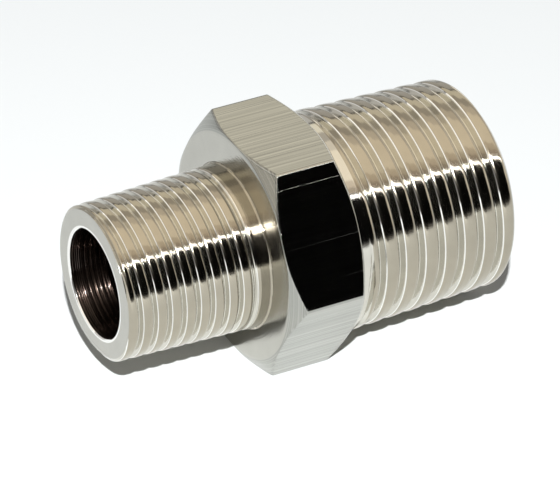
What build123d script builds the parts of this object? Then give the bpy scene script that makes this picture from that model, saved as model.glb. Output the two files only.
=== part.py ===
from build123d import *
from math import atan, degrees, radians, sqrt, tan
import os

# Reducing male hex nipple, R 1/8 x R 1/4 (ISO 7-1 tapered pipe threads), turned from 14 mm hexagon
# brass bar. All sizes are in millimetres.
#
# Frame: the thread axis is the X axis, the small thread points to -X and the large thread to +X.
# The origin is on that axis, at the middle of the hexagon. +Z is up, with one hexagon flat on top
# and one underneath, as the fitting lies on a table.
#
# The nipple is one piece of metal. Its three machined zones are kept as separate solids that meet
# face to face: the small thread, the spanner hexagon and the large thread.

# Spanner hexagon
ACROSS_FLATS = 14.0
HEX_WIDTH = 5.0
HEX_FACE_DIAMETER = 13.9
CORNER_CHAMFER_ANGLE = 30.0

# Bore, straight through all three zones
BORE_DIAMETER = 6.6
MOUTH_CHAMFER = 0.12

# Both threads: the crest widens towards the hexagon by 1 in 16 on the diameter, and the crests are
# truncated, so that a V groove of 55 degrees runs between wide lands
TAPER_PER_SIDE = 1 / 32
FLANK_ANGLE = 27.5
GROOVE_ROOT_WIDTH = 0.06

SMALL_LENGTH = 9.0
SMALL_PITCH = 0.907
SMALL_GAUGE_DIAMETER = 9.61
SMALL_GAUGE_LENGTH = 4.0
SMALL_GROOVE_DEPTH = 0.32
SMALL_GROOVE_OFFSET = 0.337
SMALL_END_RING_DIAMETER = 8.4
SMALL_END_CHAMFER_LENGTH = 0.25
NECK_FILLET = 0.35

LARGE_LENGTH = 10.5
LARGE_PITCH = 1.337
LARGE_GAUGE_DIAMETER = 13.157
LARGE_GAUGE_LENGTH = 6.0
LARGE_GROOVE_DEPTH = 0.47
LARGE_GROOVE_OFFSET = 0.437
LARGE_END_RING_DIAMETER = 12.2
LARGE_END_CHAMFER_LENGTH = 0.3

# Beside the hexagon the small groove fades out, over the turns counted here from the hexagon face,
# and the large groove runs into a relief ring at this distance from the face
FADE_FIRST_TURN = 0.375
FADE_LAST_TURN = 1.125
RELIEF_RING_DISTANCE = 0.70

# How far the cutters reach past the metal: above the crests, beyond the free ends in turns of the
# groove, and outside the hexagon's corners
CUTTER_CLEARANCE = 0.15
END_OVERRUN_TURNS = 0.5
CORNER_CLEARANCE = 1.0

BORE_RADIUS = BORE_DIAMETER / 2
HEX_HALF_WIDTH = HEX_WIDTH / 2
CORNER_RADIUS = ACROSS_FLATS / sqrt(3)


def turned(points):
    """A solid of revolution about Z from a closed outline of (radius, height) points."""
    outline = Polyline(*[(radius, 0, height) for radius, height in points], close=True)
    return revolve(make_face(outline), Axis.Z)


def groove_outline(depth):
    """V groove as (outward, along) points about a point on the crest, open above the crest."""
    root = GROOVE_ROOT_WIDTH / 2
    mouth = root + (depth + CUTTER_CLEARANCE) * tan(radians(FLANK_ANGLE))
    return [(-depth, -root), (CUTTER_CLEARANCE, -mouth), (CUTTER_CLEARANCE, mouth), (-depth, root)]


class ThreadedTube:
    """A tapered male thread about Z, from the hexagon face at Z = 0 to its free end."""

    def __init__(self, length, pitch, gauge_diameter, gauge_length, groove_depth, groove_offset):
        self.length = length
        self.pitch = pitch
        self.gauge_diameter = gauge_diameter
        self.gauge_length = gauge_length
        self.groove_depth = groove_depth
        self.groove_offset = groove_offset

    def crest_radius(self, height):
        """Radius of the crest at a height above the hexagon face."""
        return self.gauge_diameter / 2 + (self.length - self.gauge_length - height) * TAPER_PER_SIDE

    def groove_height(self, turn):
        """Height of the groove's middle after some turns of its right-hand helix from +X."""
        return self.groove_offset + self.pitch * turn

    def turn_at(self, height):
        """The number of turns at which the groove's middle reaches a height."""
        return (height - self.groove_offset) / self.pitch

    def blank(self, end_ring_diameter, end_chamfer_length):
        """The tube before threading, chamfered outside and at the bore mouth of its free end."""
        chamfer_start = self.length - end_chamfer_length
        return turned(
            [
                (BORE_RADIUS, 0),
                (self.crest_radius(0), 0),
                (self.crest_radius(chamfer_start), chamfer_start),
                (end_ring_diameter / 2, self.length),
                (BORE_RADIUS + MOUTH_CHAMFER, self.length),
                (BORE_RADIUS, self.length - MOUTH_CHAMFER),
            ]
        )

    def cutter(self, first_turn, last_turn, first_lift):
        """Groove cutter for up to one turn, lifted out of the metal by first_lift where it begins."""
        first_radius = self.crest_radius(self.groove_height(first_turn)) + first_lift
        last_radius = self.crest_radius(self.groove_height(last_turn))
        rise = self.pitch * (last_turn - first_turn)
        cone_angle = degrees(atan((last_radius - first_radius) / rise))
        path = Helix(self.pitch, rise, first_radius, cone_angle=cone_angle)
        outline = groove_outline(self.groove_depth)
        corners = [(first_radius + outward, 0, along) for outward, along in outline]
        section = make_face(Polyline(*corners, close=True))
        start = Pos(0, 0, self.groove_height(first_turn)) * Rot(0, 0, 360 * first_turn)
        return start * sweep(section, path=path, is_frenet=True)

    def with_groove(self, tube, first_turn):
        """The tube with its groove cut turn by turn, from first_turn out through the free end."""
        end_turn = self.turn_at(self.length) + END_OVERRUN_TURNS
        turn = first_turn
        while turn < end_turn:
            tube -= self.cutter(turn, turn + 1, 0)
            turn += 1
        return tube


def small_male_thread():
    """R 1/8 thread, with a plain neck and a fillet where it meets the hexagon."""
    thread = ThreadedTube(
        SMALL_LENGTH,
        SMALL_PITCH,
        SMALL_GAUGE_DIAMETER,
        SMALL_GAUGE_LENGTH,
        SMALL_GROOVE_DEPTH,
        SMALL_GROOVE_OFFSET,
    )
    tube = thread.blank(SMALL_END_RING_DIAMETER, SMALL_END_CHAMFER_LENGTH)
    tube = thread.with_groove(tube, FADE_LAST_TURN)
    tube -= thread.cutter(FADE_FIRST_TURN, FADE_LAST_TURN, SMALL_GROOVE_DEPTH)
    return tube + neck_fillet(thread)


def neck_fillet(thread):
    """The ring of metal that rounds the corner between the neck and the hexagon face."""
    neck_radius = thread.crest_radius(NECK_FILLET)
    outer_radius = neck_radius + NECK_FILLET
    inward = NECK_FILLET * (1 - sqrt(0.5))
    foot = (outer_radius, 0, 0)
    halfway = (neck_radius + inward, 0, inward)
    top = (neck_radius, 0, NECK_FILLET)
    section = [
        Line((BORE_RADIUS, 0, 0), foot),
        ThreePointArc(foot, halfway, top),
        Line(top, (BORE_RADIUS, 0, NECK_FILLET)),
        Line((BORE_RADIUS, 0, NECK_FILLET), (BORE_RADIUS, 0, 0)),
    ]
    return revolve(make_face(section), Axis.Z)


def large_male_thread():
    """R 1/4 thread, whose groove ends in a relief ring beside a plain collar at the hexagon."""
    thread = ThreadedTube(
        LARGE_LENGTH,
        LARGE_PITCH,
        LARGE_GAUGE_DIAMETER,
        LARGE_GAUGE_LENGTH,
        LARGE_GROOVE_DEPTH,
        LARGE_GROOVE_OFFSET,
    )
    tube = thread.blank(LARGE_END_RING_DIAMETER, LARGE_END_CHAMFER_LENGTH)
    ring_radius = thread.crest_radius(RELIEF_RING_DISTANCE)
    tube -= turned(
        [
            (ring_radius + outward, RELIEF_RING_DISTANCE + along)
            for outward, along in groove_outline(LARGE_GROOVE_DEPTH)
        ]
    )
    return thread.with_groove(tube, thread.turn_at(RELIEF_RING_DISTANCE))


def spanner_hexagon():
    """Hexagon about Z, its corners chamfered on both faces, with the bore through it."""
    prism = extrude(RegularPolygon(CORNER_RADIUS, 6, rotation=30), HEX_HALF_WIDTH, both=True)
    face_radius = HEX_FACE_DIAMETER / 2
    waist_radius = CORNER_RADIUS + CORNER_CLEARANCE
    waist = HEX_HALF_WIDTH - (waist_radius - face_radius) * tan(radians(CORNER_CHAMFER_ANGLE))
    envelope = turned(
        [
            (BORE_RADIUS, -HEX_HALF_WIDTH),
            (face_radius, -HEX_HALF_WIDTH),
            (waist_radius, -waist),
            (waist_radius, waist),
            (face_radius, HEX_HALF_WIDTH),
            (BORE_RADIUS, HEX_HALF_WIDTH),
        ]
    )
    return prism & envelope


TOWARDS_PLUS_X = Pos(HEX_HALF_WIDTH, 0, 0) * Rot(0, 90, 0)
TOWARDS_MINUS_X = Pos(-HEX_HALF_WIDTH, 0, 0) * Rot(0, -90, 0)

NODES = {
    "small_male_thread": TOWARDS_MINUS_X * small_male_thread(),
    "spanner_hexagon": Rot(0, 90, 0) * spanner_hexagon(),
    "large_male_thread": TOWARDS_PLUS_X * large_male_thread(),
}

os.makedirs("parts", exist_ok=True)
for name, solid in NODES.items():
    solid.label = name
    export_step(solid, f"parts/{name}.step")
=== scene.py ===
from dataclasses import dataclass
from math import cos, pi, radians, sin, sqrt, tan

import bpy
import numpy as np
from mathutils import Matrix, Vector


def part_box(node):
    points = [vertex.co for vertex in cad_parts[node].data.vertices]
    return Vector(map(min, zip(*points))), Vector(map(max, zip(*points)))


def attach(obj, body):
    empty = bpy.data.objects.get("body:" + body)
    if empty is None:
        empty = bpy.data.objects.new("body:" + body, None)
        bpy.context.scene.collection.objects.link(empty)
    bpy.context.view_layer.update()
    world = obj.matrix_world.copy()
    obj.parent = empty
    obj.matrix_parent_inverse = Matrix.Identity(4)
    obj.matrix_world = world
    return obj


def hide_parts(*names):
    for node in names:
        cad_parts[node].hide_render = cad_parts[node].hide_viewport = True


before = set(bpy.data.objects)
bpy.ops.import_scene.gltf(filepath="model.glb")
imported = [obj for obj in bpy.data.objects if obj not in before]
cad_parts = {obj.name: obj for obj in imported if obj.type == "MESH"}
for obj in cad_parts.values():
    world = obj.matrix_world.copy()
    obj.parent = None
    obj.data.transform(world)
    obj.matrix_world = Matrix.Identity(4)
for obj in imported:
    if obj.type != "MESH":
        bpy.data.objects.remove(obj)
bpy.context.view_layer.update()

# Looks of a reducing male hex nipple in nickel-plated brass, in the CAD's frame: the thread axis is
# X, the small thread points to -X and +Z is up. The fitting's lengths are in millimetres and are
# turned into metres where a mesh is made. The studio's lengths are in metres.
MM = 0.001


def in_millimetres(metres):
    """A length read from the frame, without the frame's rounding noise."""
    return round(metres / MM, 3)


hexagon_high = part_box("spanner_hexagon")[1]
HEX_HALF_WIDTH = in_millimetres(hexagon_high[0])
ACROSS_FLATS = 2 * in_millimetres(hexagon_high[2])
SMALL_LENGTH = -in_millimetres(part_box("small_male_thread")[0][0]) - HEX_HALF_WIDTH
LARGE_LENGTH = in_millimetres(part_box("large_male_thread")[1][0]) - HEX_HALF_WIDTH

# Hexagon
HEX_FACE_RADIUS = 6.95
CORNER_CHAMFER = radians(30)
EDGE_ROUNDING = 0.10

# Bore and its mouths
BORE_RADIUS = 3.3
MOUTH_CHAMFER = 0.065

# Both threads
FLANK = radians(27.5)
TAPER_PER_SIDE = 1 / 32
RIM_ROUNDING = 0.035
NOSE_BLEND = 0.03
NOSE_ARC_SHARE = 0.98
LAND_FLAT_SHARE = 0.40
SHOULDER_RAMP_TURNS = 0.5

# The relief ring beside the large collar runs from the front underneath and up the back. Its turns
# count on past 1 where it passes underneath, and it rises out of the metal over a ramp at each end.
RING_HEIGHT = 0.70
RING_START_TURN = 0.70
RING_START_RAMP = 0.06
RING_END_TURN = 1.33
RING_END_RAMP = 0.10
RING_BLEND = 0.04

# The large groove begins in the relief ring
LARGE_PITCH = 1.337
LARGE_GROOVE_OFFSET = 0.437
LARGE_FIRST_TURN = round((RING_HEIGHT - LARGE_GROOVE_OFFSET) / LARGE_PITCH, 5)

# A depth and a radius that are clear of the metal, the most that a fading groove is lifted, in full
# depths, and a height or turn that is too small to see
NO_GROOVE = -1.0
FAR_OUT = 1e3
MOST_LIFT = 1.5
TINY = 1e-6

# Mesh of a thread: points round the axis, then rows of points over half a pitch. Rows at the root are
# in root roundings, those at the groove's edge in edge widths and those on the land in shares of it.
# The rows begin some pitches below the hexagon face and end beyond the free end, and a point that is
# nearly at an end joins its rim.
COLUMNS = 256
ROOT_ROWS = (0, 0.25, 0.5, 0.8, 1.2)
EDGE_ROWS = (-2.6, -1.2, -0.8, -0.4, 0, 0.4, 0.8, 1.2, 2.0)
LAND_ROWS = (0.2, 0.4, 0.6, 0.8)
PITCHES_BELOW = 2
SPARE_PITCHES = 4
SNAP_TO_END = 0.012

# Numbers of the materials on a piece. Their land, flank, edge and bore materials are lighter and
# darker copies of one plate, as painted shade and painted light.
LAND, FLANK_FACE, EDGE, RING, BORE = range(5)


@dataclass
class Thread:
    """Sizes of one thread. Heights count from the hexagon face, and the groove winds up from there.

    A turn of 0 lies underneath on the large thread and on top on the small one. The groove begins at
    first_turn and is at its full depth from full_turn on.
    """

    length: float
    pitch: float
    gauge_radius: float
    gauge_length: float
    groove_offset: float
    groove_half_width: float
    root_rounding: float
    crest_rounding: float
    shoulder: float
    nose_radius: float
    nose_length: float
    first_turn: float
    full_turn: float
    ring_height: float | None
    fillet: float

    def crest_radius(self, height):
        """Radius of the crest at a height."""
        return self.gauge_radius + (self.length - self.gauge_length - height) * TAPER_PER_SIDE

    def groove(self, distance):
        """Depth of the V groove at a distance from its middle, negative outside its mouth."""
        rounded_distance = np.sqrt(distance**2 + self.root_rounding**2)
        return (self.groove_half_width - rounded_distance) / tan(FLANK)

    def edge_width(self):
        """Width over which the groove's edge is rounded."""
        return self.crest_rounding * tan(FLANK)


SMALL = Thread(
    length=SMALL_LENGTH,
    pitch=0.907,
    gauge_radius=4.805,
    gauge_length=4.0,
    groove_offset=0.337,
    groove_half_width=0.175,
    root_rounding=0.045,
    crest_rounding=0.065,
    shoulder=0.055,
    nose_radius=4.28,
    nose_length=0.20,
    first_turn=0.375,
    full_turn=1.125,
    ring_height=None,
    fillet=0.12,
)
LARGE = Thread(
    length=LARGE_LENGTH,
    pitch=LARGE_PITCH,
    gauge_radius=6.5785,
    gauge_length=6.0,
    groove_offset=LARGE_GROOVE_OFFSET,
    groove_half_width=0.25,
    root_rounding=0.06,
    crest_rounding=0.09,
    shoulder=0.09,
    nose_radius=6.10,
    nose_length=0.35,
    first_turn=LARGE_FIRST_TURN,
    full_turn=LARGE_FIRST_TURN,
    ring_height=RING_HEIGHT,
    fillet=0.0,
)


def smooth_max(a, b, width):
    """The larger of a and b, rounded off where they are closer than width."""
    gap = a - b
    rounded_off = b + (gap + width) ** 2 / (4 * width)
    return np.where(gap >= width, a, np.where(gap <= -width, b, rounded_off))


# ---------------------------------------------------------------- shape of a thread


def shoulder_drop(thread, from_groove, wound):
    """How far the land's rounded shoulders lie below the crest, beside a full groove.

    from_groove is the distance from the groove's middle in pitches.
    """
    half_land = thread.pitch / 2 - thread.groove_half_width
    beside = (thread.pitch / 2 - np.abs(from_groove) * thread.pitch) / half_land
    share = np.clip((beside - LAND_FLAT_SHARE) / (1 - LAND_FLAT_SHARE), 0, 1)
    ramp = np.clip((wound - thread.first_turn) / SHOULDER_RAMP_TURNS, 0, 1)
    return thread.shoulder * share**2 * ramp


def ring_depth(thread, height, turn):
    """Depth of the relief ring, lifted out of the metal where the ring doesn't show."""
    halfway_out = (RING_START_TURN + RING_END_TURN - 1) / 2
    counted = np.where(turn < halfway_out, turn + 1, turn)
    started = np.clip((counted - RING_START_TURN) / RING_START_RAMP, 0, 1)
    not_ended = np.clip((RING_END_TURN - counted) / RING_END_RAMP, 0, 1)
    lift = (1 - started * not_ended) * thread.groove(0.0)
    return thread.groove(height - thread.ring_height) - lift


def thread_radius(thread, height, turn):
    """Outer radius of a thread at a height and a turn from 0 to 1, without its nose."""
    along = (height - thread.groove_offset) / thread.pitch - turn
    nearest = np.round(along)
    wound = nearest + turn
    groove = thread.groove((along - nearest) * thread.pitch)
    if thread.full_turn > thread.first_turn:
        faded = (thread.full_turn - wound) / (thread.full_turn - thread.first_turn)
        groove = groove - np.clip(faded, 0, MOST_LIFT) * thread.groove(0.0)
    groove = np.where(wound < thread.first_turn - TINY, NO_GROOVE, groove)
    if thread.ring_height is not None:
        groove = smooth_max(groove, ring_depth(thread, height, turn), RING_BLEND)
    radius = thread.crest_radius(height) - smooth_max(groove, 0.0, thread.crest_rounding)
    radius = radius - shoulder_drop(thread, along - nearest, wound)
    if thread.fillet:
        inside = np.clip(thread.fillet - height, 0, thread.fillet)
        radius = radius + thread.fillet - np.sqrt(thread.fillet**2 - inside**2)
    return radius


def nose_radius(thread, height):
    """Radius of the rounded nose at the free end, as most of a quarter of an ellipse."""
    start = thread.length - thread.nose_length
    crest = thread.crest_radius(start)
    share = np.clip((height - start) / thread.nose_length, 0, 1)
    fall = 1 - np.sqrt(1 - (share * NOSE_ARC_SHARE) ** 2)
    whole_fall = 1 - sqrt(1 - NOSE_ARC_SHARE**2)
    nose = crest - (crest - thread.nose_radius) * fall / whole_fall
    return np.where(height <= start, FAR_OUT, nose)


# ---------------------------------------------------------------- mesh of a thread

# Rings from the free end's rim to the bore: the rim in shares of its quarter circle, the end face in
# shares of its width, the lip of the mouth as (along, outward) in mouth chamfers, and the bore in
# shares of its length. The last two bore rings lie close together, so that the shading stays flat up
# to the hidden face where the hexagon begins.
NOSE_RIM_ROWS = (0.2, 0.45, 0.75, 1.0)
END_FACE_ROWS = (0.03, 0.15, 0.4, 0.7, 0.9)
FACE_TO_LIP_GAP = 0.02
LIP_PROFILE = (
    (0.0, 0.17),
    (-0.02, 0.07),
    (-0.08, -0.02),
    (-0.5, -0.43),
    (-0.92, -0.87),
    (-1.04, -0.96),
    (-1.25, -1.0),
)
BORE_ROWS = (0.06, 0.15, 0.3, 0.5, 0.7, 0.85, 0.998, 1.0)

# Where the painted highlight on the groove's edge begins and ends, in edge widths from its mouth, and
# how far past the groove's start, in turns, the neck or collar keeps its own tone: the land's painted
# shade on the neck, the flank's painted light on the collar
EDGE_ZONE_INSIDE = 0.5
EDGE_ZONE_OUTSIDE = 0.6
PLAIN_TURNS = 0.1


class Tube:
    """A closed tube, as points (height, turn, radius), faces and their material numbers."""

    def __init__(self):
        self.points = []
        self.faces = []
        self.zones = []
        self.turn = np.arange(COLUMNS) / COLUMNS

    def add_ring(self, height, radius):
        """A ring of points at one height. Gives back their numbers."""
        first = len(self.points)
        for turn, point_radius in zip(self.turn, np.broadcast_to(radius, self.turn.shape)):
            self.points.append((height, turn, point_radius))
        return np.arange(first, first + COLUMNS)

    def add_face(self, corners, zone):
        """A face, which is left out if its corners fell together."""
        kept = [corner for i, corner in enumerate(corners) if corner != corners[i - 1]]
        if len(set(kept)) >= 3:
            self.faces.append(tuple(kept))
            self.zones.append(zone)

    def bridge(self, ring, next_ring, zone):
        """Faces between two rings."""
        for column in range(COLUMNS):
            after = (column + 1) % COLUMNS
            corners = (ring[column], ring[after], next_ring[after], next_ring[column])
            self.faces.append(tuple(int(corner) for corner in corners))
            self.zones.append(zone)

    def continue_with(self, previous, rings, zone):
        """Further rings of (height, radius) joined on to the previous one. Gives back the last."""
        for height, radius in rings:
            ring = self.add_ring(height, radius)
            self.bridge(previous, ring, zone)
            previous = ring
        return previous


def offsets_per_pitch(thread):
    """Axial positions over one pitch, close together at the groove's root and edges."""
    edge = thread.edge_width()
    land_start = thread.groove_half_width + edge * EDGE_ROWS[-1]
    land = thread.pitch / 2 - land_start
    half = [thread.root_rounding * row for row in ROOT_ROWS]
    half += [thread.groove_half_width + edge * row for row in EDGE_ROWS]
    half += [land_start + land * row for row in LAND_ROWS]
    return sorted([-offset for offset in half[1:]] + half + [thread.pitch / 2])


def zones_across(thread, offsets):
    """The material between each offset and the next: painted light in the groove, a painted highlight
    on its edge or painted shade on the land.
    """
    borders = np.array(offsets + [offsets[0] + thread.pitch])
    from_groove = np.abs((borders[:-1] + borders[1:]) / 2)
    outer_edge = thread.groove_half_width + EDGE_ZONE_OUTSIDE * thread.edge_width()
    inner_edge = thread.groove_half_width - EDGE_ZONE_INSIDE * thread.edge_width()
    zones = np.where(from_groove < outer_edge, EDGE, LAND)
    return np.where(from_groove < inner_edge, FLANK_FACE, zones)


def wound_points(tube, thread, heights, low_ring, high_ring):
    """Numbers of the points of rows that wind with the groove.

    Points that reach past an end, or nearly, are those of the ring on that end's rim.
    """
    low = SNAP_TO_END
    high = thread.length - RIM_ROUNDING - SNAP_TO_END
    radius = thread_radius(thread, heights, tube.turn[None, :])
    radius = -smooth_max(-radius, -nose_radius(thread, heights), NOSE_BLEND)
    index = np.zeros(heights.shape, int)
    for row in range(heights.shape[0]):
        for column in range(COLUMNS):
            height = heights[row, column]
            if height < low:
                index[row, column] = low_ring[column]
            elif height > high:
                index[row, column] = high_ring[column]
            else:
                index[row, column] = len(tube.points)
                tube.points.append((height, tube.turn[column], radius[row, column]))
    return index


def wound_faces(tube, thread, index, offsets):
    """Faces between the rows that wind with the groove.

    One turn further on, a row goes on as the row one pitch higher.
    """
    per_pitch = len(offsets)
    zones = zones_across(thread, offsets)
    # The small neck keeps the land's painted shade, the large collar the flank's painted light.
    plain_zone = LAND if thread.ring_height is None else FLANK_FACE
    for row in range(index.shape[0] - 1):
        for column in range(COLUMNS):
            after_row = row
            after = column + 1
            if after == COLUMNS:
                after_row = row + per_pitch
                after = 0
            if after_row + 1 >= index.shape[0]:
                continue
            corners = [
                index[row, column],
                index[after_row, after],
                index[after_row + 1, after],
                index[row + 1, column],
            ]
            wound = row // per_pitch - PITCHES_BELOW + tube.turn[column]
            threaded = wound > thread.first_turn + PLAIN_TURNS
            zone = int(zones[row % per_pitch]) if threaded else plain_zone
            tube.add_face([int(corner) for corner in corners], zone)


def close_end(tube, thread, high_ring, high_radius):
    """The rounded rim, the end face, the lip and the bore. Gives back the bore's last ring."""
    high = thread.length - RIM_ROUNDING
    rim = []
    for share in NOSE_RIM_ROWS:
        angle = share * pi / 2
        height = high + RIM_ROUNDING * sin(angle)
        rim.append((height, high_radius - RIM_ROUNDING * (1 - cos(angle))))
    lip_radius = BORE_RADIUS + MOUTH_CHAMFER
    face_radius = high_radius - RIM_ROUNDING
    face_width = lip_radius + FACE_TO_LIP_GAP - face_radius
    face = [(thread.length, face_radius + face_width * share) for share in END_FACE_ROWS]
    lip = []
    for along, outward in LIP_PROFILE:
        height = thread.length + along * MOUTH_CHAMFER
        lip.append((height, lip_radius + outward * MOUTH_CHAMFER))
    bore_start = lip[-1][0]
    bore = [(bore_start * (1 - share), BORE_RADIUS) for share in BORE_ROWS]
    last = tube.continue_with(high_ring, rim + face, RING)
    # The lip takes the edge's painted highlight, and the bore the bore's painted shade.
    last = tube.continue_with(last, lip, EDGE)
    return tube.continue_with(last, bore, BORE)


def thread_mesh(thread):
    """Points (height, turn, radius), faces and material numbers of a closed threaded tube."""
    tube = Tube()
    high = thread.length - RIM_ROUNDING
    low_radius = thread_radius(thread, np.full(COLUMNS, TINY), tube.turn)
    high_heights = np.full(COLUMNS, high)
    high_radius = np.minimum(
        thread_radius(thread, high_heights, tube.turn), nose_radius(thread, high_heights)
    )
    low_ring = tube.add_ring(0.0, low_radius)
    high_ring = tube.add_ring(high, high_radius)

    offsets = offsets_per_pitch(thread)
    row_heights = []
    for number in range(int(thread.length / thread.pitch) + SPARE_PITCHES):
        middle = thread.groove_offset + thread.pitch * (number - PITCHES_BELOW)
        row_heights += [middle + offset for offset in offsets]
    heights = np.array(row_heights)[:, None] + thread.pitch * tube.turn[None, :]
    index = wound_points(tube, thread, heights, low_ring, high_ring)
    wound_faces(tube, thread, index, offsets)

    bore_end = close_end(tube, thread, high_ring, high_radius)
    hidden_face = [(0.0, (low_radius + BORE_RADIUS) / 2)]
    last = tube.continue_with(bore_end, hidden_face, RING)
    tube.bridge(last, low_ring, RING)
    return np.array(tube.points), tube.faces, tube.zones


def place_thread(points, towards):
    """Points (height, turn, radius) as X, Y, Z, with the tube pointing towards +X or -X."""
    height, turn, radius = points.T
    angle = 2 * pi * turn
    x = towards * (HEX_HALF_WIDTH + height)
    y = radius * np.sin(angle)
    z = -towards * radius * np.cos(angle)
    return np.stack([x, y, z], axis=1)


# ---------------------------------------------------------------- hexagon

# Points round the axis, in degrees on both sides of each corner
CORNER_COLUMNS = (0.3, 0.7, 1.2, 1.9, 2.8, 4.2, 6.5, 9.5, 13, 17, 21, 25.5)

# Rows over the half towards +X, from the bore to the flats: shares of the face, distances inside its
# edge, shares of the chamfer, distances from the chamfer along the flat, and one row at a share of
# the chamfer's X. The bore's rows are shares of the hexagon's width.
FACE_ROWS = (0, 0.04, 0.1, 0.2, 0.4, 0.6, 0.75, 0.86, 0.93, 0.97)
FACE_EDGE_ROWS = (0.08, 0.05, 0.025)
CHAMFER_ROWS = (0, 0.02, 0.05, 0.09, 0.15, 0.25, 0.4, 0.55, 0.7, 0.82, 0.9, 0.95, 0.98, 1.0)
FLAT_EDGE_ROWS = (0.02, 0.04, 0.065, 0.1, 0.16, 0.3, 0.6)
FLAT_ROW = 0.45
HEX_BORE_ROWS = (0.004, 0.25, 0.5, 0.75, 0.996)

# How the sharp hexagon's points are moved onto its rounded surface. Points within the last distance
# of the bore stay where they are.
ROUNDING_PASSES = 6
SLOPE_STEP = 1e-4
SMALLEST_SLOPE = 0.25
UNROUNDED_NEAR_BORE = 1.0


def hexagon_field(points):
    """Signed distance-like field of the hexagon with chamfered corners and rounded edges."""
    x, y, z = points.T
    sides = []
    for number in range(6):
        angle = pi / 2 + number * pi / 3
        sides.append(y * cos(angle) + z * sin(angle) - ACROSS_FLATS / 2)
    beyond_face = np.abs(x) - HEX_HALF_WIDTH
    beyond_edge = np.sqrt(y**2 + z**2) - HEX_FACE_RADIUS
    sides.append(beyond_face * cos(CORNER_CHAMFER) + beyond_edge * sin(CORNER_CHAMFER))
    sides.append(beyond_face)
    over = np.maximum(np.stack(sides) + EDGE_ROUNDING, 0)
    length = np.sqrt((over**2).sum(0))
    inside = np.max(np.stack(sides), axis=0)
    return np.where(length > 0, length - EDGE_ROUNDING, inside)


def rounded(points):
    """Points of the sharp-edged hexagon moved onto its rounded surface."""
    for _ in range(ROUNDING_PASSES):
        value = hexagon_field(points)
        slope = np.zeros_like(points)
        for axis in range(3):
            shift = np.zeros(3)
            shift[axis] = SLOPE_STEP
            rise = hexagon_field(points + shift) - hexagon_field(points - shift)
            slope[:, axis] = rise / (2 * SLOPE_STEP)
        size = np.maximum((slope**2).sum(1), SMALLEST_SLOPE)
        points = points - slope * (value / size)[:, None]
    return points


def hexagon_angles():
    """Angles of the hexagon's points round the axis, close together at its corners."""
    degrees = []
    for number in range(6):
        corner = 60 * number
        degrees.append(corner)
        degrees += [corner + side * away for away in CORNER_COLUMNS for side in (1, -1)]
        degrees.append(corner + 30)
    return np.radians(sorted(angle % 360 for angle in degrees))


def hexagon_rows(angle):
    """Rows of (x, radius) round the outside, from the bore on +X to the bore on -X."""
    from_flat = np.radians(np.abs((np.degrees(angle) % 60) - 30))
    flat_radius = ACROSS_FLATS / 2 / np.cos(from_flat)
    chamfer_width = flat_radius - HEX_FACE_RADIUS
    chamfer_x = HEX_HALF_WIDTH - chamfer_width * tan(CORNER_CHAMFER)
    everywhere = np.ones_like(angle)
    face_x = HEX_HALF_WIDTH * everywhere
    rows = []
    for share in FACE_ROWS:
        rows.append((face_x, everywhere * (BORE_RADIUS + (HEX_FACE_RADIUS - BORE_RADIUS) * share)))
    for back in FACE_EDGE_ROWS:
        rows.append((face_x, everywhere * (HEX_FACE_RADIUS - back)))
    for share in CHAMFER_ROWS:
        x = HEX_HALF_WIDTH + (chamfer_x - HEX_HALF_WIDTH) * share
        rows.append((x, HEX_FACE_RADIUS + chamfer_width * share))
    for inward in FLAT_EDGE_ROWS:
        rows.append((chamfer_x - inward, flat_radius))
    rows.append((chamfer_x * FLAT_ROW, flat_radius))
    mirrored = [(-x, radius) for x, radius in reversed(rows)]
    return rows + [(0 * angle, flat_radius)] + mirrored


def hexagon_mesh():
    """Points, faces and material numbers of the closed hexagon with its bore."""
    angle = hexagon_angles()
    outer_rows = hexagon_rows(angle)
    bore_rows = []
    for share in HEX_BORE_ROWS:
        x = -HEX_HALF_WIDTH + 2 * HEX_HALF_WIDTH * share
        bore_rows.append((x + 0 * angle, BORE_RADIUS))
    points = []
    for x, radius in outer_rows + bore_rows:
        points.append(np.stack([x, radius * np.cos(angle), radius * np.sin(angle)], axis=1))
    points = np.concatenate(points)
    radial = np.sqrt(points[:, 1] ** 2 + points[:, 2] ** 2)
    movable = radial > BORE_RADIUS + UNROUNDED_NEAR_BORE
    points[movable] = rounded(points[movable])

    columns = len(angle)
    total = len(outer_rows) + len(bore_rows)
    last_outer = len(outer_rows) - 1
    face_bands = len(FACE_ROWS) + len(FACE_EDGE_ROWS) - 1
    faces = []
    zones = []
    for row in range(total):
        after_row = (row + 1) % total
        zone = LAND
        if row < face_bands or row >= last_outer - face_bands:
            zone = RING
        if row >= last_outer:
            zone = BORE
        for column in range(columns):
            after = (column + 1) % columns
            faces.append(
                (
                    row * columns + column,
                    after_row * columns + column,
                    after_row * columns + after,
                    row * columns + after,
                )
            )
            zones.append(zone)
    return points, faces, zones


# ---------------------------------------------------------------- materials

# Noise over the metal, in cells per metre: a slow cloud, fine specks, turning marks, and the drawn
# bar's lines and scratches, which are stretched along X
CLOUD_SCALE = 900
SPECK_SCALE = 9000
TURNING_SCALE = 9000
LINE_SCALE = 6000
LINE_STRETCH = (0.008, 1, 1)
SCRATCH_SCALE = 15000
SCRATCH_STRETCH = (0.0018, 1, 1)

# Only the highest of the scratches' noise cuts into the metal
SCRATCH_RANGE = (0.60, 0.80)

# How strongly the normal is bumped, by heights of this many metres
BUMP_DEPTH = 0.00001
MARK_STRENGTH = 0.25
SPECK_STRENGTH = 0.12
SCRATCH_STRENGTH = 0.42

# Roughness of bright plate, from its glossiest to its dullest
BRIGHT_GLOSS = (0.05, 0.12)

# The hexagon's faces and chamfers are turned. Their normals lean more than this towards X.
TURNED_LEAN = 0.25

# How far the colour strays to both sides of its base, and the range of the drawn bar's marks over
# which it does
PLAIN_SPREAD = 0.09
DRAWN_SPREAD = 0.26
DRAWN_RANGE = (0.3, 0.7)


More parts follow.
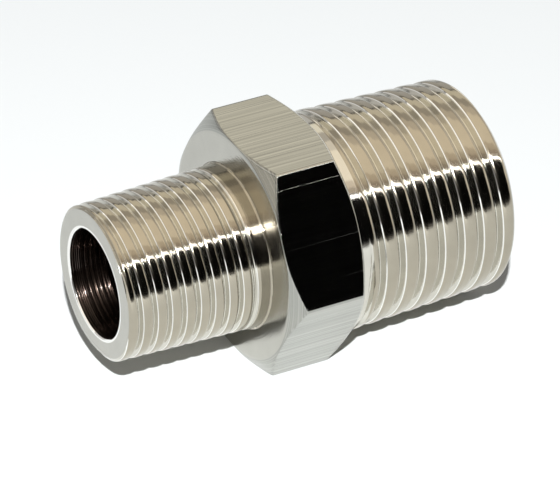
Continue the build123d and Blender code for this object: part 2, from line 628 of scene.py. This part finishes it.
class Surface:
    """The material of one metal, with short ways to add and join its nodes."""

    def __init__(self, name):
        self.material = bpy.data.materials.new(name)
        self.material.use_nodes = True
        self.tree = self.material.node_tree
        self.shader = self.tree.nodes["Principled BSDF"]
        self.place = self.add("ShaderNodeTexCoord").outputs["Object"]

    def add(self, kind):
        return self.tree.nodes.new(kind)

    def join(self, source, target):
        self.tree.links.new(source, target)

    def noise(self, vector, scale, detail, stretch=(1, 1, 1)):
        """Noise at a vector that is stretched first."""
        mapping = self.add("ShaderNodeMapping")
        mapping.inputs["Scale"].default_value = stretch
        self.join(vector, mapping.inputs["Vector"])
        texture = self.add("ShaderNodeTexNoise")
        texture.inputs["Scale"].default_value = scale
        texture.inputs["Detail"].default_value = detail
        self.join(mapping.outputs[0], texture.inputs["Vector"])
        return texture.outputs["Fac"]

    def ranged(self, value, low=0.0, high=1.0, to_low=0.0, to_high=1.0):
        """A value's range from low to high made into the range from to_low to to_high."""
        node = self.add("ShaderNodeMapRange")
        node.inputs["From Min"].default_value = low
        node.inputs["From Max"].default_value = high
        node.inputs["To Min"].default_value = to_low
        node.inputs["To Max"].default_value = to_high
        self.join(value, node.inputs["Value"])
        return node.outputs[0]

    def bump(self, height, strength, depth, normal=None):
        """A normal bumped by a height, on top of another normal if there is one."""
        node = self.add("ShaderNodeBump")
        node.inputs["Strength"].default_value = strength
        node.inputs["Distance"].default_value = depth
        self.join(height, node.inputs["Height"])
        if normal is not None:
            self.join(normal, node.inputs["Normal"])
        return node.outputs[0]

    def around_axis(self):
        """A vector that is the same all the way round X, for turning marks."""
        parts = self.add("ShaderNodeSeparateXYZ")
        self.join(self.place, parts.inputs[0])
        across = self.add("ShaderNodeCombineXYZ")
        self.join(parts.outputs["Y"], across.inputs["Y"])
        self.join(parts.outputs["Z"], across.inputs["Z"])
        radius = self.add("ShaderNodeVectorMath")
        radius.operation = "LENGTH"
        self.join(across.outputs[0], radius.inputs[0])
        around = self.add("ShaderNodeCombineXYZ")
        self.join(parts.outputs["X"], around.inputs["X"])
        self.join(radius.outputs["Value"], around.inputs["Y"])
        return around.outputs[0]

    def lines_or_marks(self, lines, marks):
        """Drawing lines on the flats, and turning marks where the normal leans towards X."""
        parts = self.add("ShaderNodeSeparateXYZ")
        self.join(self.add("ShaderNodeNewGeometry").outputs["Normal"], parts.inputs[0])
        lean = self.add("ShaderNodeMath")
        lean.operation = "ABSOLUTE"
        self.join(parts.outputs["X"], lean.inputs[0])
        turned = self.add("ShaderNodeMath")
        turned.operation = "GREATER_THAN"
        turned.inputs[1].default_value = TURNED_LEAN
        self.join(lean.outputs[0], turned.inputs[0])
        choice = self.add("ShaderNodeMix")
        choice.data_type = "FLOAT"
        self.join(turned.outputs[0], choice.inputs["Factor"])
        self.join(lines, choice.inputs["A"])
        self.join(marks, choice.inputs["B"])
        return choice.outputs["Result"]

    def tint(self, factor, base, spread):
        """Colours that stray from the base to both sides with the factor."""
        mix = self.add("ShaderNodeMix")
        mix.data_type = "RGBA"
        mix.inputs["A"].default_value = [*[part * (1 - spread) for part in base], 1]
        mix.inputs["B"].default_value = [*[min(1, part * (1 + spread)) for part in base], 1]
        self.join(factor, mix.inputs["Factor"])
        self.join(mix.outputs["Result"], self.shader.inputs["Base Color"])

    def specks(self, normal):
        """A normal with fine specks on top."""
        return self.bump(self.noise(self.place, SPECK_SCALE, 2), SPECK_STRENGTH, BUMP_DEPTH, normal)

    def plate(self, normal, gloss_range):
        """Plates the metal with a bumped normal and a drifting roughness. Gives back the drift."""
        self.shader.inputs["Metallic"].default_value = 1.0
        self.join(normal, self.shader.inputs["Normal"])
        self.join(normal, self.shader.inputs["Coat Normal"])
        drift = self.noise(self.place, CLOUD_SCALE, 3)
        glossiest, dullest = gloss_range
        roughness = self.ranged(drift, to_low=glossiest, to_high=dullest)
        self.join(roughness, self.shader.inputs["Roughness"])
        return drift


def turned_plate(
    name,
    base,
    mark_scale=TURNING_SCALE,
    mark_depth=BUMP_DEPTH,
    mark_strength=MARK_STRENGTH,
    gloss_range=BRIGHT_GLOSS,
):
    """Bright nickel plate with turning marks round the axis."""
    metal = Surface(name)
    marks = metal.noise(metal.around_axis(), mark_scale, 3)
    normal = metal.specks(metal.bump(marks, mark_strength, mark_depth))
    drift = metal.plate(normal, gloss_range)
    metal.tint(drift, base, PLAIN_SPREAD)
    return metal.material


def drawn_plate(name, base):
    """Bright nickel plate over drawn bar, with lines and scratches along X on the flats."""
    metal = Surface(name)
    turning = metal.noise(metal.around_axis(), TURNING_SCALE, 3)
    lines = metal.noise(metal.place, LINE_SCALE, 5, LINE_STRETCH)
    marks = metal.lines_or_marks(lines, turning)
    scratches = metal.noise(metal.place, SCRATCH_SCALE, 2, SCRATCH_STRETCH)
    cuts = metal.ranged(scratches, *SCRATCH_RANGE)
    normal = metal.specks(metal.bump(marks, MARK_STRENGTH, BUMP_DEPTH))
    metal.plate(metal.bump(cuts, SCRATCH_STRENGTH, BUMP_DEPTH, normal), BRIGHT_GLOSS)
    metal.tint(metal.ranged(marks, *DRAWN_RANGE), base, DRAWN_SPREAD)
    return metal.material


def bore_shade_plate(name, base):
    """Painted shade for the inside of the bore: a dark copy of the plate, with coarse turning marks
    under a thin clear film.
    """
    material = turned_plate(
        name, base, mark_depth=0.00006, mark_strength=0.8, gloss_range=(0.14, 0.32)
    )
    shader = material.node_tree.nodes["Principled BSDF"]
    shader.inputs["Coat Weight"].default_value = 1.0
    shader.inputs["Coat Roughness"].default_value = 0.12
    return material


def plain_material(name, colour):
    """A matt material of one colour, for the studio."""
    material = bpy.data.materials.new(name)
    material.use_nodes = True
    shader = material.node_tree.nodes["Principled BSDF"]
    shader.inputs["Base Color"].default_value = (*colour, 1)
    shader.inputs["Roughness"].default_value = 0.8
    shader.inputs["Specular IOR Level"].default_value = 0.0
    return material


# ---------------------------------------------------------------- pieces


def look_piece(name, node, mesh_parts, materials):
    """A smooth-shaded piece that stands for one CAD node.

    mesh_parts are its points in millimetres, its faces and the number of each face's material.
    """
    points, faces, zones = mesh_parts
    mesh = bpy.data.meshes.new(name)
    mesh.from_pydata([tuple(point) for point in points * MM], [], faces)
    for material in materials:
        mesh.materials.append(material)
    mesh.polygons.foreach_set("material_index", zones)
    mesh.polygons.foreach_set("use_smooth", [True] * len(faces))
    mesh.update()
    piece = bpy.data.objects.new(name, mesh)
    bpy.context.scene.collection.objects.link(piece)
    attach(piece, "root")
    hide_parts(node)
    return piece


def thread_piece(name, node, thread, towards, materials):
    """The look of one thread, pointing towards +X or -X."""
    points, faces, zones = thread_mesh(thread)
    mesh_parts = (place_thread(points, towards), faces, zones)
    return look_piece(name, node, mesh_parts, materials)


# Painted shade: the lands get a darker, beige copy of the plate, standing in for the shade and warm
# reflection on them.
land_shaded_nickel = turned_plate("land_shaded_nickel", (0.40, 0.365, 0.295), gloss_range=(0.07, 0.14))
# Painted light: the flanks of the groove and the large collar get a lighter copy of the plate.
flank_lit_nickel = turned_plate("flank_lit_nickel", (0.60, 0.58, 0.52))
# Painted highlight: the groove's edges and the lip of the mouth get a near-white copy of the plate,
# for the white lines along them.
edge_highlight_nickel = turned_plate("edge_highlight_nickel", (0.88, 0.87, 0.84))
ring_nickel = turned_plate(
    "ring_nickel",
    (0.445, 0.435, 0.395),
    mark_scale=7000,
    mark_depth=0.00002,
    mark_strength=0.5,
    gloss_range=(0.10, 0.18),
)
# Painted shade: the bore, in the threads and the hexagon, is given a near-black brown base.
bore_shade_nickel = bore_shade_plate("bore_shade_nickel", (0.07, 0.048, 0.038))
drawn_nickel = drawn_plate("drawn_nickel", (0.385, 0.385, 0.355))

# In the order of the material numbers, with painted shade on the land and in the bore, painted light
# on the flank and a painted highlight on the edge. The hexagon's flats are drawn where a thread has
# its land.
thread_materials = [land_shaded_nickel, flank_lit_nickel, edge_highlight_nickel, ring_nickel, bore_shade_nickel]
hexagon_materials = [drawn_nickel, flank_lit_nickel, edge_highlight_nickel, ring_nickel, bore_shade_nickel]

pieces = [
    thread_piece("small_thread_look", "small_male_thread", SMALL, -1, thread_materials),
    thread_piece("large_thread_look", "large_male_thread", LARGE, 1, thread_materials),
    look_piece(
        "hexagon_look", "spanner_hexagon", hexagon_mesh(), hexagon_materials
    ),
]

# ---------------------------------------------------------------- floor and sheet


def stage_sheet(name, corners, colour):
    """A flat four-cornered sheet of the studio."""
    mesh = bpy.data.meshes.new(name)
    mesh.from_pydata(corners, [], [(0, 1, 2, 3)])
    mesh.materials.append(plain_material(name, colour))
    sheet = bpy.data.objects.new(name, mesh)
    bpy.context.scene.collection.objects.link(sheet)


# The fitting lies on a flat. The black sheet stands in front of it and makes the dark band that the
# photograph shows on the front of the metal.
FLOOR_LEVEL = -ACROSS_FLATS / 2 * MM
FLOOR_HALF = 0.8
SHEET_LEFT = -0.80
SHEET_RIGHT = 2.0
SHEET_Y = -0.75
SHEET_BOTTOM = 0.03
SHEET_TOP = 0.90

stage_sheet(
    "floor",
    [
        (-FLOOR_HALF, -FLOOR_HALF, FLOOR_LEVEL),
        (FLOOR_HALF, -FLOOR_HALF, FLOOR_LEVEL),
        (FLOOR_HALF, FLOOR_HALF, FLOOR_LEVEL),
        (-FLOOR_HALF, FLOOR_HALF, FLOOR_LEVEL),
    ],
    (0.84, 0.87, 0.88),
)
stage_sheet(
    "black_flag",
    [
        (SHEET_LEFT, SHEET_Y, SHEET_BOTTOM),
        (SHEET_RIGHT, SHEET_Y, SHEET_BOTTOM),
        (SHEET_RIGHT, SHEET_Y, SHEET_TOP),
        (SHEET_LEFT, SHEET_Y, SHEET_TOP),
    ],
    (0.01, 0.01, 0.01),
)

# ---------------------------------------------------------------- light

fitting = bpy.data.collections.new("fitting")
for piece in pieces:
    fitting.objects.link(piece)


def area_light(name, place, aim, width, height, radiance, colour, on_floor=False):
    """A rectangular lamp at a place, facing a point, given by how bright its face is.

    It lights only the fitting, or the floor too with on_floor.
    """
    light = bpy.data.lights.new(name, "AREA")
    light.shape = "RECTANGLE"
    light.size = width
    light.size_y = height
    light.energy = radiance * pi * width * height
    light.color = colour
    lamp = bpy.data.objects.new(name, light)
    if not on_floor:
        lamp.light_linking.receiver_collection = fitting
    lamp.location = place
    lamp.rotation_mode = "QUATERNION"
    lamp.rotation_quaternion = (Vector(place) - Vector(aim)).to_track_quat("Z", "Y")
    bpy.context.scene.collection.objects.link(lamp)


# The lamps overhead are strips from front to back: front Y, back Y, radiance and colour
OVERHEAD_X = 0.15
OVERHEAD_HEIGHT = 0.36
OVERHEAD_WIDTH = 0.90
OVERHEAD_STRIPS = (
    (-0.25, -0.20, 0.42, (1.0, 0.78, 0.55)),
    (-0.20, -0.14, 0.75, (1.0, 0.84, 0.64)),
    (-0.14, 0.10, 1.12, (1.0, 0.89, 0.71)),
    (0.10, 0.20, 0.80, (1.0, 0.89, 0.73)),
    (0.20, 0.34, 0.44, (1.0, 0.90, 0.75)),
    (0.34, 0.65, 0.90, (1.0, 0.93, 0.76)),
)

for number, (near, far, radiance, colour) in enumerate(OVERHEAD_STRIPS):
    middle = (near + far) / 2
    area_light(
        f"overhead_{number}",
        place=(OVERHEAD_X, middle, OVERHEAD_HEIGHT),
        aim=(OVERHEAD_X, middle, 0.0),
        width=OVERHEAD_WIDTH,
        height=far - near,
        radiance=radiance,
        colour=colour,
    )
area_light(
    "flash",
    place=(-0.1569, -0.2831, 0.3126),
    aim=(0, 0, 0),
    width=0.009,
    height=0.006,
    radiance=18500.0,
    colour=(1.0, 0.995, 0.99),
    on_floor=True,
)
area_light(
    "window",
    place=(0.30, -0.3406, 0.4306),
    aim=(0.30, 0, 0),
    width=1.40,
    height=0.020,
    radiance=9.5,
    colour=(1.0, 1.0, 1.0),
)
area_light(
    "left",
    place=(-0.55, 0.20, 0.38),
    aim=(0, 0.20, 0.0),
    width=1.10,
    height=0.36,
    radiance=0.9,
    colour=(1.0, 0.96, 0.88),
)
area_light(
    "left_low",
    place=(-0.60, 0.25, 0.08),
    aim=(0, 0, 0.0),
    width=0.60,
    height=0.16,
    radiance=0.6,
    colour=(1.0, 0.94, 0.82),
)
area_light(
    "right",
    place=(0.60, 0.20, 0.15),
    aim=(0, 0.20, 0.15),
    width=1.30,
    height=0.30,
    radiance=1.0,
    colour=(1.0, 0.96, 0.88),
)
area_light(
    "back",
    place=(0.10, 0.72, 0.17),
    aim=(0.10, 0, 0.17),
    width=1.6,
    height=0.34,
    radiance=0.46,
    colour=(1.0, 0.98, 0.94),
)

world = bpy.data.worlds.new("studio")
bpy.context.scene.world = world
world.use_nodes = True
background = world.node_tree.nodes["Background"]
background.inputs["Color"].default_value = (0.20, 0.195, 0.19, 1)
background.inputs["Strength"].default_value = 1.0
bpy.context.scene.view_settings.view_transform = "Standard"

# ---------------------------------------------------------------- camera

# The photograph's viewing angle, with the point that the camera looks at and its lens in millimetres
AZIMUTH = radians(-29.06)
ELEVATION = radians(33.71)
ROLL = radians(1.38)
DISTANCE = 0.2516
TARGET = Vector((0.00071, 0.0, -0.00141))
LENS = 274.6
SENSOR_WIDTH = 36
CLIP_START = 0.01
CLIP_END = 10

back = Vector((sin(AZIMUTH) * cos(ELEVATION), -cos(AZIMUTH) * cos(ELEVATION), sin(ELEVATION)))
right = (-back).cross(Vector((0, 0, 1))).normalized()
up = right.cross(-back)
rolled_right = right * cos(ROLL) + up * sin(ROLL)
rolled_up = up * cos(ROLL) - right * sin(ROLL)
facing = Matrix((rolled_right, rolled_up, back)).transposed().to_4x4()
camera_data = bpy.data.cameras.new("camera")
camera_data.sensor_width = SENSOR_WIDTH
camera_data.lens = LENS
camera_data.clip_start = CLIP_START
camera_data.clip_end = CLIP_END
camera = bpy.data.objects.new("camera", camera_data)
bpy.context.scene.collection.objects.link(camera)
camera.matrix_world = Matrix.Translation(TARGET + back * DISTANCE) @ facing
bpy.context.scene.camera = camera
